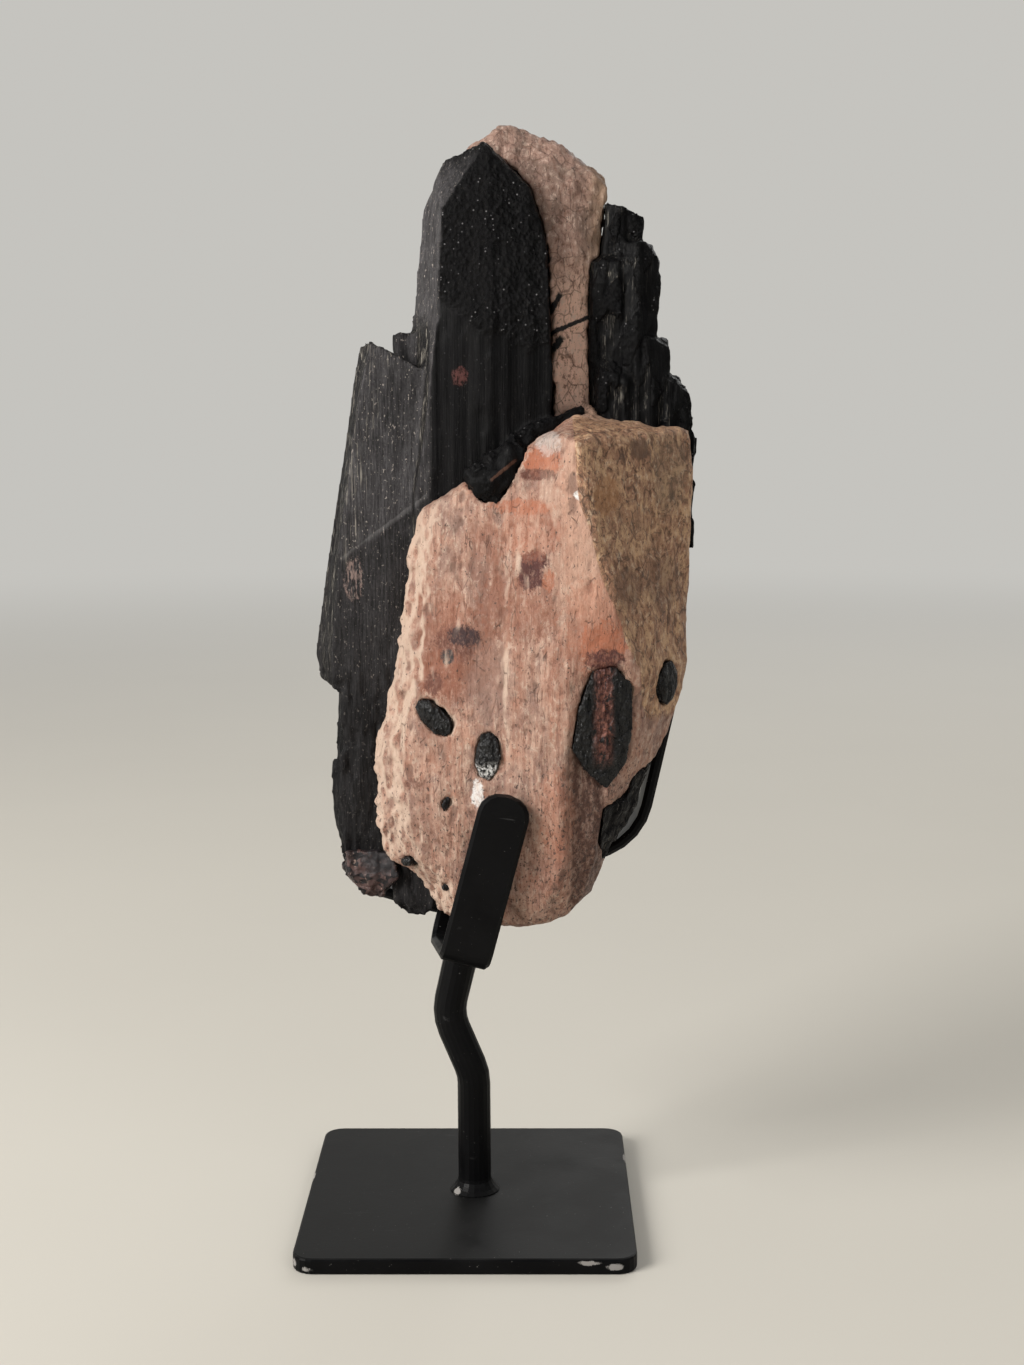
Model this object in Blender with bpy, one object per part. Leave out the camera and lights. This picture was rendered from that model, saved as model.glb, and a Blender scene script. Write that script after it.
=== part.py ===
"""Black tourmaline crystals grown through pink feldspar, held upright in a black steel stand.

The frame is in metres, +Z up. The origin is the middle of the base plate's underside, +X is to the right
and the side with the front hook faces -Y. Sizes below are in millimetres until MM turns them into metres.
"""

import math
import random

import bmesh
import bpy
from mathutils import Matrix, Vector, noise

MM = 0.001
GAP = 0.3  # clearance between solids that touch

# Stand
PLATE_SIDE = 100.0
PLATE_THICK = 4.8
PLATE_CORNER = 6.0
PLATE_BEVEL = 0.7
CORNER_STEPS = 5
STEM_DIAMETER = 10.2
STEM_TOP = 81.0
STEM_PATH = [(1.7, 0, 0), (1.6, 0, 42.5), (-6.3, 0, 61.5), (-2.0, 0, STEM_TOP)]
STEM_BENDS = (16.0, 16.0)
STEM_SIDES = 20
WELD_HEIGHT = 4.0
WELD_SPREAD = 2.6
WELD_STEPS = 4
STRAP_WIDTH = 15.0
STRAP_THICK = 3.4
STRAP_CHAMFER = 1.1
TIP_STEPS = 4
HOOK_LEAN = 14.3 # degrees that the hook leans to the right
HOOK_HEADING = 4.4  # degrees that the hook's plane turns from the YZ plane
HOOK_TWIST = -8.0  # degrees that its tongue turns about its own length
HOOK_CORNER = 6.0
HOOK_BENDS = (5.0, 5.0)
HOOK_FLOOR = 88.5 # height of the bend at the hook's front
HOOK_FOOT = (-2.1, 0, HOOK_FLOOR)  # the point that the hook leans and turns about
HOOK_PATH = [(-8.9, 0, HOOK_FLOOR + 4), (-8.9, 0, HOOK_FLOOR - 7.8), (31.5, 0, HOOK_FLOOR), (35.4, 0, 139.5)]
CRADLE_DEPTH = 19.0  # how far back the cradle's middle line lies
CRADLE_CORNER = 5.0
CRADLE_BENDS = (9.0, 20.0, 20.0)
CRADLE_PATH = [(-36, 0, 140), (-35.2, 0, 99.4), (-4, 0, 90), (53.2, 0, 114.2), (63, 0, 158)]

# Specimen
FELDSPAR_CELL = 2.2
FELDSPAR_SHARE = 0.16  # share of the fine faces that the faceted solid keeps
LUMP_SIZE = 9.0
LUMP_HEIGHT = 0.9
RIB_PITCH = 3.0
RIB_DEPTH = 0.8

COLOURS = {
    "feldspar": ((0.62, 0.40, 0.30, 1.0), 0.75, 0.0),
    "tourmaline": ((0.012, 0.012, 0.014, 1.0), 0.4, 0.0),
    "mica": ((0.16, 0.10, 0.09, 1.0), 0.5, 0.0),
    "black_steel": ((0.018, 0.018, 0.02, 1.0), 0.5, 0.3),
}


# The feldspar block in front: the height of each slice, then its corners. They run anticlockwise seen from
# above: left edge, shoulder, step, step's far side, ridge, right edge, back right, back, back left.
FRONT_BLOCK = [
    (95, [(-3, -16), (0, -19), (14, -24), (15.5, -23.5), (18, -21), (19, -14), (17, -8), (14, -4), (0, -5)]),
    (98, [(-8, -14), (-2, -22), (20, -27), (21.5, -26), (27, -24), (31.5, -13), (28, -6), (7, 10), (-5, 10)]),
    (103, [(-10, -13), (-1, -24), (24, -29.5), (25.5, -27.5), (33, -26), (37.6, -11), (33, -3),
           (12, 17), (-8, 16)]),
    (109, [(-14.5, -13), (-4, -24), (27.5, -31.5), (29, -28.8), (35, -28), (40.3, -12),
           (37, -1), (23, 20), (-12, 19)]),
    (115, [(-24.5, -13), (-13, -22), (29, -32.8), (30.5, -29.5), (37, -28), (41.7, -15),
           (43, 0), (37, 21), (-16, 20)]),
    (127, [(-26.6, -14), (-16, -23), (29.8, -34), (31.2, -30.6), (38.5, -29), (43, -16),
           (46, 2), (46, 23), (-18, 21)]),
    (139, [(-26.5, -14), (-17, -23.5), (30, -35), (31.4, -31.4), (43, -27.5), (51, -16),
           (53, 4), (49, 23), (-18, 21)]),
    (144, [(-27.6, -14), (-18, -23), (30, -35), (31.4, -31.6), (47, -26), (57, -12), (57, 3),
           (51, 23), (-18, 21)]),
    (151, [(-25.7, -14), (-17, -23), (30.2, -35.2), (31.5, -32.2), (50.5, -25), (60, -8),
           (60, 6), (53, 23), (-17, 20)]),
    (163, [(-22, -14), (-14, -22), (30.2, -35.2), (31.5, -33.6), (52, -26.5), (64.8, -7),
           (63, 8), (56, 22), (-16, 18)]),
    (170, [(-20, -14), (-13, -21.7), (30, -35), (31.3, -34.3), (51, -31), (66.3, -5), (65, 8),
           (58, 21), (-14, 14)]),
    (178, [(-18.9, -14), (-12, -21.5), (29.5, -34.6), (31, -34.6), (48, -33.5), (66.3, -4),
           (65.5, 8), (60, 20), (-14, 12)]),
    (196, [(-17, -14), (-10, -21), (27, -33.2), (28.5, -33.6), (43, -35.2), (66.6, -4),
           (66, 7), (62, 18), (-12, 11)]),
    (207, [(-15.7, -14), (-9, -20.5), (25.5, -32), (27, -33), (39, -35.8), (66.8, -4),
           (66, 6), (62, 16), (-10, 10)]),
    (219, [(-12.6, -14), (-6, -20), (24.3, -30.4), (25.8, -32.6), (35.8, -36), (67.1, -4),
           (66, 5), (62, 14), (-6, 8)]),
    (232, [(-9, -14), (-3, -18), (24, -27), (25.6, -32), (33.4, -36), (67.1, -4), (66, 4), (62, 12), (0, 6)]),
    (252, [(-4, -13), (1, -17), (24, -25), (25.6, -31.8), (31.8, -36), (67.1, -4), (66, 3), (60, 9), (4, 4)]),
]
# Each cleavage plane is a point on it and the direction that it faces.
FRONT_BLOCK_CUTS = [
    ((30, -34, 239), (0.188, -0.262, 1.0)),
    ((26.5, -32, 239), (-0.604, -0.113, 1.0)),
]
# The feldspar that rises behind: front left, front, front right, right, back right, back, back left.
REAR_BLOCK = [
    (185, [(0, 2), (10, -3), (30, -3), (42, 2), (42, 18), (20, 22), (8, 20)]),
    (250, [(0, 2), (10, -3), (30, -3), (41, 2), (42, 19), (20, 27), (8, 22)]),
    (280, [(0, 3), (10, -2.5), (30, -2.5), (40, 2), (41, 19), (20, 27.5), (6, 23)]),
    (292, [(-4, 10), (10, -2), (30, -2), (41, 3), (41, 19), (20, 27), (0, 23)]),
    (300, [(-8, 8), (8, -1.5), (30, -1.5), (42, 3.5), (41, 19), (20, 27), (-4, 22)]),
    (308, [(-6, 4), (10, -1), (30, -1), (42.6, 4), (41, 18), (20, 26), (-3, 21.5)]),
    (312.5, [(-3.6, 3), (10, 0), (30, 0), (41.8, 5), (39.5, 17), (20, 24), (-1, 20)]),
    (317.5, [(-0.6, 4), (10, 0.5), (25, 2), (36, 7), (34, 16), (20, 21), (3, 19)]),
    (322, [(1.5, 6), (8, 3), (20, 4), (30, 8), (28, 15), (18, 18), (6, 16)]),
    (326, [(7, 8), (10, 5.5), (17, 6), (22, 9), (20, 14), (15, 15), (9, 13.5)]),
    (328.6, [(10.5, 10), (12, 8.5), (15, 8.5), (16.5, 11), (15.5, 12.5), (13.5, 13), (11.5, 12.5)]),
]

# Tourmaline columns. Corners: left, front left, front middle, front right, right back, back.
CENTRE_COLUMN = [
    (150, [(-14, 6), (-13, -8), (8, -12), (22, -10), (24, 8), (4, 24)]),
    (221, [(-17.5, 8), (-14.3, -11), (8, -14.5), (25.2, -12), (26.5, 6), (5, 25)]),
    (242, [(-16.6, 8), (-10.9, -11.5), (8, -15), (25.6, -12.3), (26.5, 6), (5, 25)]),
    (257, [(-16, 8), (-9, -12), (8, -15.5), (25.8, -12.5), (26.5, 6), (6, 25)]),
    (272, [(-15.2, 8), (-7, -12), (8, -15.5), (25.2, -12.5), (26, 6), (6, 24.5)]),
    (292, [(-13, 8), (-6.2, -10), (8, -12.5), (24.8, -9.5), (25.5, 8), (7, 23)]),
    (304, [(-11.8, 8), (-5.6, -9.5), (8, -11), (24, -8), (25, 10), (8, 21)]),
    (323, [(-8, 9), (-3, -6), (8, -8), (18, -5), (21, 12), (9, 19)]),
]
CENTRE_COLUMN_CUTS = [
    ((14.6, -6, 314), (0.70, -0.12, 0.71)),
    ((20.8, -8, 304.4), (0.95, -0.05, 0.3)),
    ((-3, 0, 319.2), (-0.5, -0.1, 0.86)),
    ((-8.5, 2, 310.7), (-0.91, 0.0, 0.41)),
    ((-5.1, -10, 301.9), (-0.63, -0.62, 0.47)),
    ((7, -3, 320.4), (0.0, 0.5, 0.86)),
]
# Corners: left, front left, front right, right back, back, back left.
LEFT_COLUMN = [
    (160, [(-44.3, 5), (-40, -4), (-8, -6), (-6, 13), (-20, 22), (-40, 17)]),
    (172.6, [(-45.5, 5), (-39.8, -4), (-8, -6), (-6, 13), (-20, 22), (-41, 17)]),
    (186, [(-43.6, 5), (-38.9, -4), (-8.5, -6), (-6, 13), (-19, 22), (-39.5, 17)]),
    (204, [(-40.9, 5), (-37.6, -4), (-9, -6), (-6, 13), (-18, 22), (-37, 17)]),
    (220, [(-38.4, 5), (-35.3, -4), (-10, -6), (-7, 13), (-17, 22), (-35, 17)]),
    (237, [(-35.7, 5), (-32.9, -4), (-10.5, -6), (-7, 13), (-16, 21), (-32.5, 17)]),
    (252, [(-33.4, 5), (-30.1, -3.6), (-10, -5.5), (-7, 12), (-15, 20), (-30, 16)]),
    (267, [(-30.6, 5), (-26.7, -3.2), (-9.5, -5), (-7, 12), (-14, 19), (-27.5, 15)]),
]
LEFT_COLUMN_CUTS = [
    ((-26, -3, 266.3), (-0.1, -0.1, 1.0)),
    ((-16.5, -4, 260.5), (0.48, 0.3, 0.82)),
    ((-43.6, 0, 166.5), (-0.6, -0.1, -0.8)),
    ((-10, -5.2, 222), (0.04, -1.0, -0.035)),
]
LEFT_STUB = [
    (109, [(-38.5, 2), (-36, -2), (-14, -4), (-10, 9), (-20, 11), (-31.5, 9)]),
    (118, [(-40, 2), (-37, -2.5), (-12, -4.5), (-9, 11), (-20, 18), (-31, 9)]),
    (131, [(-41.3, 2), (-38.6, -3), (-10, -5), (-8, 12), (-20, 20), (-31, 10)]),
    (146, [(-39.8, 3), (-37.2, -3.5), (-9, -5.5), (-7, 12), (-20, 21), (-33, 14)]),
    (159, [(-38.8, 6), (-37.5, -3.8), (-8, -5.8), (-7, 12), (-20, 21), (-36, 17)]),
    (180, [(-38.2, 6), (-36.3, -3.4), (-9, -5.4), (-7, 12), (-20, 21), (-36, 16)]),
]
FOOT_COLUMN = [
    (94.4, [(-19.5, 3), (-18.5, -4), (-12, -6), (-10.5, 5), (-14, 7), (-18, 6)]),
    (98, [(-23, 3), (-22, -6), (-9.5, -8), (-7.5, 7), (-14, 9), (-21, 8)]),
    (118, [(-25, 3), (-24, -5), (-10, -6), (-8, 9), (-15, 10), (-24, 9)]),
]
BEHIND_NOTCH = [
    (240, [(-21, 8), (-20, 4), (-10, 3), (-8, 12), (-12, 18), (-19, 16)]),
    (268.5, [(-21, 8), (-20, 4.5), (-10, 3.5), (-8, 12), (-12, 16), (-18, 15)]),
]
RIGHT_COLUMNS = [  # the bundle at the upper right, from its tallest column out and down
    (
        [(225, [(38, 6), (38.5, -1), (46, -3), (53, 1), (54, 14), (40, 18)]),
         (262, [(36.6, 6), (37.2, -1), (46, -3), (53.4, 1), (54, 14), (40, 18)]),
         (282, [(36.8, 6), (37.6, -1), (45, -3), (53.2, 1), (53, 14), (39, 18)]),
         (288.5, [(36.8, 6), (38, -0.5), (45, -2.4), (53, 1), (52, 14), (39, 18)]),
         (290.5, [(39.8, 6), (40.8, 1.5), (46, 0), (53, 2), (52, 14), (41, 17)]),
         (307, [(41.6, 6), (42.4, 2.5), (46.5, 1), (53.3, 3), (51, 13), (42.5, 16)])],
        [((47, 0, 304), (0.36, 0.05, 0.93))],
    ),
    (
        [(220, [(44, 8), (45.5, -3), (51, -5), (56, 0), (57, 12), (46, 15)]),
         (257, [(44, 8), (45.5, -3), (51, -5), (56.4, 0), (57, 12), (46, 15)]),
         (270, [(45, 8), (46.5, -2), (51, -4.5), (56.8, 0), (56, 12), (46, 15)]),
         (286, [(45, 8), (47.5, -1.5), (51, -4), (57.7, 0.5), (57, 12), (46, 15)]),
         (294, [(46, 8), (48, -0.5), (51, -2), (57, 1), (55, 12), (47, 14)])],
        [((55.4, 0, 291.4), (0.72, -0.2, 0.66))],
    ),
    (
        [(215, [(36, 6), (39, -4), (47, -6.5), (54, -4), (55, 11), (40, 14)]),
         (254, [(37, 6), (39.5, -4.5), (47, -6.5), (53, -3), (54, 11), (40, 14)]),
         (264, [(38, 6), (41, -2.5), (46, -4), (50, -2), (52, 11), (41, 14)])],
        [((45, -5, 256), (0.1, -0.8, 0.6))],
    ),
    (
        [(215, [(48, 6), (49, -4), (55, -5.5), (61, -1), (61, 11), (50, 14)]),
         (256, [(48, 6), (49, -4), (55, -5), (60.5, -1), (61, 11), (50, 14)]),
         (267, [(48, 6), (49, -3), (54, -4), (60, 0), (60, 11), (50, 14)])],
        [((58.8, 0, 265), (0.6, -0.3, 0.75))],
    ),
    (
        [(205, [(54, 8), (55, -2), (61, -4), (68, 1), (67, 12), (56, 15)]),
         (243, [(54, 8), (55, -2.5), (60, -4), (68, 1), (67, 12), (56, 15)]),
         (256, [(54, 8), (55, -1.5), (60, -3), (65.5, 1), (64, 12), (56, 14)])],
        [((65, 0, 251.6), (0.62, -0.2, 0.76))],
    ),
    (
        [(190, [(54, 9), (56, 5), (62, 4), (66.8, 6), (66, 13), (56, 16)]),
         (237.8, [(55, 8), (57, 1), (62, 0), (69, 3), (68, 13), (57, 16)])],
        [],
    ),
]
LOW_RIGHT_COLUMNS = [
    ([(114, [(38, -8), (39.5, -16), (41.5, -14), (42, 2), (40, 6)]),
      (122, [(38, -10), (39.5, -25), (44.5, -17), (45.5, 3), (41, 7)]),
      (131, [(38.5, -10), (40.5, -28.5), (47.5, -19), (48.5, 3), (41, 7)]),
      (137, [(39, -10), (42, -27), (48, -19), (48.5, 3), (41, 7)])],
     [((41, -27.5, 131.5), (0.35, -0.35, 0.85))]),
    ([(118, [(42, -9), (43, -12), (44.3, -11), (44.8, 3), (42, 5.2)]),
      (127, [(44, -9), (46, -16), (50, -12), (51.5, 2), (45, 7)]),
      (134, [(45, -9), (48, -18), (51.5, -13), (53, 2), (46, 7)]),
      (141, [(46, -9), (50, -19), (54.5, -13.5), (56, 2), (47, 7)])],
     [((52, -18, 139.5), (0.1, -0.7, 0.7))]),
]
MICA_CLUSTER = [
    (99.6, [(-31, 2), (-29.5, -4), (-26, -4), (-25, 4), (-27, 7), (-30.5, 6)]),
    (103, [(-35.6, 2), (-33.5, -5), (-24, -7), (-22, 6), (-27, 9), (-33.5, 7)]),
    (107, [(-38.4, 2), (-35.5, -6), (-20, -9), (-18, 7), (-26, 9.5), (-36, 7.5)]),
    (114, [(-39.6, 2), (-36, -5), (-22, -7), (-20, 7), (-26, 9.5), (-37, 8)]),
]
# The branch that lies across the columns' feet: its two ends and its half width at each.
BRANCH_SIDES = 8
BRANCH = ((6.0, -21.5, 224.8), (18.0, -19, 234.6), 6.8, 5.4)
BRANCH_TIP = ((15.5, -17, 236.2), (35.0, -6.5, 246.0), 3.0, 1.7)

# Crystals set in the feldspar's face: lower and upper end on the face, half width, and the degrees by which
# the face there looks to the right of the front.
INCLUSIONS = {
    "inclusion_left": ((-3.4, -26.3, 153.6), (-13.8, -22.8, 163.0), 3.5, -16),
    "inclusion_middle": ((6.3, -29.2, 140.6), (7.6, -29.4, 154.4), 3.6, -14),
    "inclusion_speck": ((-5.9, -26.0, 131.2), (-4.5, -26.4, 135.3), 1.0, -14),
    "inclusion_low_left": ((-15.4, -20.4, 115.0), (-19.2, -16.3, 113.4), 1.4, -42),
    "inclusion_low_middle": ((-4.9, -22.4, 106.6), (-6.8, -21.4, 107.8), 1.1, -40),
    "inclusion_large": ((40.0, -28.6, 138.8), (41.8, -34.0, 175.0), 9.3, 17),
    "inclusion_right": ((61.2, -12.6, 160.6), (58.2, -18.9, 172.6), 6.0, 57),
}
INCLUSION_SIDES = 9
INCLUSION_DEPTH = 9.0


def clear_scene():
    for obj in list(bpy.data.objects):
        bpy.data.objects.remove(obj)


def material(name):
    """A Principled material in the named colour, made once."""
    found = bpy.data.materials.get(name)
    if found:
        return found
    colour, roughness, metallic = COLOURS[name]
    made = bpy.data.materials.new(name)
    made.use_nodes = True
    shader = made.node_tree.nodes["Principled BSDF"]
    shader.inputs["Base Color"].default_value = colour
    shader.inputs["Roughness"].default_value = roughness
    shader.inputs["Metallic"].default_value = metallic
    made.diffuse_color = colour
    return made


def add_object(name, bm, finish):
    """A bmesh in millimetres becomes an object in metres."""
    bmesh.ops.recalc_face_normals(bm, faces=bm.faces)
    bmesh.ops.scale(bm, vec=(MM, MM, MM), verts=bm.verts)
    mesh = bpy.data.meshes.new(name)
    bm.to_mesh(mesh)
    bm.free()
    obj = bpy.data.objects.new(name, mesh)
    obj.data.materials.append(material(finish))
    bpy.context.scene.collection.objects.link(obj)
    return obj


def make_helper(obj):
    """A cutter or a piece that is only joined into another."""
    obj.hide_render = True
    obj.display_type = "WIRE"
    return obj


def boolean(target, other, operation):
    step = target.modifiers.new(operation.lower(), "BOOLEAN")
    step.operation = operation
    step.object = make_helper(other)
    step.solver = "EXACT"
    step.use_self = True


def bevel_edges(obj, width):
    """Rounds the sharp edges."""
    step = obj.modifiers.new("edges", "BEVEL")
    step.width = width * MM
    step.segments = 2
    step.limit_method = "ANGLE"
    step.angle_limit = math.radians(50)


def baked(obj):
    """The object's mesh with its modifiers applied, on the same object."""
    bpy.context.view_layer.update()
    graph = bpy.context.evaluated_depsgraph_get()
    mesh = bpy.data.meshes.new_from_object(obj.evaluated_get(graph))
    obj.modifiers.clear()
    obj.data = mesh
    return obj


def outward(corners, amount):
    """The polygon with every side moved out by that much."""
    moved = []
    count = len(corners)
    for i, corner in enumerate(corners):
        before = Vector(corner) - Vector(corners[i - 1])
        after = Vector(corners[(i + 1) % count]) - Vector(corner)
        a = Vector((before.y, -before.x)).normalized()
        b = Vector((after.y, -after.x)).normalized()
        middle = (a + b).normalized()
        moved.append(Vector(corner) + middle * amount / max(0.35, middle.dot(a)))
    return moved


def loft(slices):
    """Rings of points, given as (height, points), joined into one closed skin."""
    bm = bmesh.new()
    rings = [[bm.verts.new((p[0], p[1], z)) for p in points] for z, points in slices]
    for low, high in zip(rings, rings[1:]):
        for i in range(len(low)):
            j = (i + 1) % len(low)
            bm.faces.new((low[i], low[j], high[j], high[i]))
    bm.faces.new(reversed(rings[0]))
    bm.faces.new(rings[-1])
    return bm


def cut_flat(bm, cuts, grow=0.0):
    """Takes away what lies beyond each plane, and closes the cut with a flat face."""
    for point, facing in cuts:
        normal = Vector(facing).normalized()
        bmesh.ops.bisect_plane(
            bm,
            geom=bm.verts[:] + bm.edges[:] + bm.faces[:],
            plane_co=Vector(point) + normal * grow,
            plane_no=normal,
            clear_outer=True,
        )
        rim = [edge for edge in bm.edges if edge.is_boundary]
        bmesh.ops.holes_fill(bm, edges=rim, sides=0)


def ribbed(slices, seed):
    """The slices with more points on each side, set in by turns, so that ribs run the crystal's length."""
    draw = random.Random(seed)
    widest = max(slices, key=lambda s: sum(abs(p[0]) + abs(p[1]) for p in s[1]))[1]
    depths = []
    for i, corner in enumerate(widest):
        side = (Vector(widest[(i + 1) % len(widest)]) - Vector(corner)).length
        pieces = max(1, round(side / RIB_PITCH))
        depths.append([0.0] + [draw.uniform(0.15, 1.0) * RIB_DEPTH for _ in range(pieces - 1)])
    rings = []
    for z, corners in slices:
        ring = []
        for i, side_depths in enumerate(depths):
            start = Vector(corners[i])
            run = Vector(corners[(i + 1) % len(corners)]) - start
            inward = Vector((-run.y, run.x)).normalized()
            for k, depth in enumerate(side_depths):
                ring.append(start + run * (k / len(side_depths)) + inward * depth * (1 if k % 2 else 0.25))
        rings.append((z, ring))
    return rings


def crystal(name, slices, cuts=(), seed=0, finish="tourmaline"):
    """A ribbed column."""
    bm = loft(ribbed(slices, seed))
    cut_flat(bm, cuts)
    return add_object(name, bm, finish)


def socket(name, slices, cuts=()):
    """The plain hole that a column fits with the usual clearance."""
    grown = [(z, outward(corners, GAP)) for z, corners in slices]
    grown[0] = (grown[0][0] - GAP, grown[0][1])
    grown[-1] = (grown[-1][0] + GAP, grown[-1][1])
    bm = loft(grown)
    cut_flat(bm, cuts, GAP)
    return add_object(name, bm, "tourmaline")


def lying_crystal(name, start, end, half_start, half_end, grow=0.0):
    """An eight sided crystal that lies along a line, blunt at its start."""
    start, end = Vector(start), Vector(end)
    run = (end - start).length
    blunt = half_start * 0.45
    profile = [(-blunt - grow, half_start * 0.62), (0.0, half_start), (run + grow, half_end)]
    turns = [math.tau * (i + 0.3) / BRANCH_SIDES for i in range(BRANCH_SIDES)]
    slices = [(z, [(math.cos(t) * (r + grow), math.sin(t) * (r + grow)) for t in turns]) for z, r in profile]
    bm = loft(slices)
    turn = Vector((0, 0, 1)).rotation_difference(end - start).to_matrix().to_4x4()
    bmesh.ops.transform(bm, matrix=Matrix.Translation(start) @ turn, verts=bm.verts)
    return add_object(name, bm, "tourmaline")


def inclusion(name, low, high, half_width, facing, grow=0.0):
    """A crystal set into the feldspar's face between two ends, with a low faceted crown."""
    low, high = Vector(low), Vector(high)
    half_height = (high - low).length / 2
    draw = random.Random(half_height)
    rim = []
    for i in range(INCLUSION_SIDES):
        angle = math.tau * i / INCLUSION_SIDES
        reach = draw.uniform(0.86, 1.1)
        rim.append(Vector((math.cos(angle) * half_width, math.sin(angle) * half_height)) * reach)
    draw_crown = draw.uniform(0.5, 0.7)
    profile = [(-INCLUSION_DEPTH - grow, 0.7), (0.0, 1.0), (0.9 + grow, draw_crown)]
    slices = [(z, outward([p * share for p in rim], grow)) for z, share in profile]
    bm = loft(slices)
    along = (high - low).normalized()
    across = along.cross((math.sin(math.radians(facing)), -math.cos(math.radians(facing)), 0)).normalized()
    turned = Matrix((across, along, across.cross(along))).transposed().to_4x4()
    bmesh.ops.transform(bm, matrix=Matrix.Translation((low + high) / 2) @ turned, verts=bm.verts)
    return add_object(name, bm, "tourmaline")


def join(name, parts):
    """Overlapping pieces become one solid."""
    whole = parts[0]
    whole.name = name
    for part in parts[1:]:
        boolean(whole, part, "UNION")
    return baked(whole)


def tourmaline_pieces(make):
    """The left group's parts, made as crystals or as the sockets that they leave in the feldspar."""
    return [
        make("centre_column", CENTRE_COLUMN, CENTRE_COLUMN_CUTS),
        make("left_column", LEFT_COLUMN, LEFT_COLUMN_CUTS),
        make("left_stub", LEFT_STUB),
        make("foot_column", FOOT_COLUMN),
        make("behind_notch", BEHIND_NOTCH),
    ]


def build_tourmaline():
    left = tourmaline_pieces(crystal)
    left.append(lying_crystal("branch", *BRANCH))
    left.append(lying_crystal("branch_tip", *BRANCH_TIP))
    join("tourmaline_left", left)
    right = [crystal("right_column", slices, cuts, seed) for seed, (slices, cuts) in enumerate(RIGHT_COLUMNS)]
    join("tourmaline_right", right)
    low = [crystal("low_column", slices, cuts, seed) for seed, (slices, cuts) in enumerate(LOW_RIGHT_COLUMNS)]
    join("tourmaline_low_right", low)


def sockets():
    """Everything that the feldspar makes room for."""
    made = tourmaline_pieces(socket)
    made.append(lying_crystal("branch_socket", *BRANCH, grow=GAP))
    made.append(lying_crystal("branch_tip_socket", *BRANCH_TIP, grow=GAP))
    made += [socket("right_socket", slices, cuts) for slices, cuts in RIGHT_COLUMNS + LOW_RIGHT_COLUMNS]
    made.append(socket("mica_socket", MICA_CLUSTER))
    made += [inclusion(name + "_socket", *shape, grow=GAP) for name, shape in INCLUSIONS.items()]
    return made


def roughened(obj, size, height, seed):
    """Low lumps, longer along the height than across, because feldspar breaks in upright steps."""
    offset = Vector((seed * 7.3, seed * 3.1, 0))
    for vertex in obj.data.vertices:
        place = vertex.co / (size * MM)
        place.z *= 0.45
        coarse = noise.noise(place + offset)
        fine = noise.noise(place * 2.6 + offset)
        vertex.co += vertex.normal * (coarse + 0.5 * fine) * height * MM
    return obj


def build_feldspar():
    front = loft(FRONT_BLOCK)
    cut_flat(front, FRONT_BLOCK_CUTS)
    block = add_object("feldspar", front, "feldspar")
    boolean(block, add_object("rear_block", loft(REAR_BLOCK), "feldspar"), "UNION")
    even = block.modifiers.new("even", "REMESH")
    even.mode = "VOXEL"
    even.voxel_size = FELDSPAR_CELL * MM
    baked(block)
    roughened(block, LUMP_SIZE, LUMP_HEIGHT, 1)
    fewer = block.modifiers.new("facets", "DECIMATE")
    fewer.ratio = FELDSPAR_SHARE
    boolean(block, join("hollow", sockets()), "DIFFERENCE")
    return baked(block)


def build_mica():
    mica = crystal("mica_cluster", MICA_CLUSTER, finish="mica", seed=5)
    boolean(mica, join("mica_hollow", tourmaline_pieces(socket)), "DIFFERENCE")
    return baked(mica)


def rounded_path(corners, bends, step=math.radians(15)):
    """A line through the corners with each inner corner turned as an arc of its own radius."""
    points = [Vector(corners[0])]
    for before, corner, after, radius in zip(corners, corners[1:], corners[2:], bends):
        corner = Vector(corner)
        back = (Vector(before) - corner).normalized()
        ahead = (Vector(after) - corner).normalized()
        half = back.angle(ahead) / 2
        reach = radius / math.tan(half)
        start, end = corner + back * reach, corner + ahead * reach
        centre = corner + (back + ahead).normalized() * radius / math.sin(half)
        count = max(2, math.ceil((math.pi - 2 * half) / step))
        for i in range(count + 1):
            way = start.lerp(end, i / count) - centre
            points.append(centre + way.normalized() * radius)
    points.append(Vector(corners[-1]))
    return points


def round_tip(end, back, radius):
    """Stations at a bar's end, from its tip inward: each is a point and the half width there."""
    stations = []
    for i in range(TIP_STEPS + 1):
        angle = math.radians(90) * i / TIP_STEPS
        narrow = radius * (1 - math.sin(angle))
        stations.append((end + back * radius * (1 - math.cos(angle)), STRAP_WIDTH / 2 - narrow))
    return stations


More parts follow.
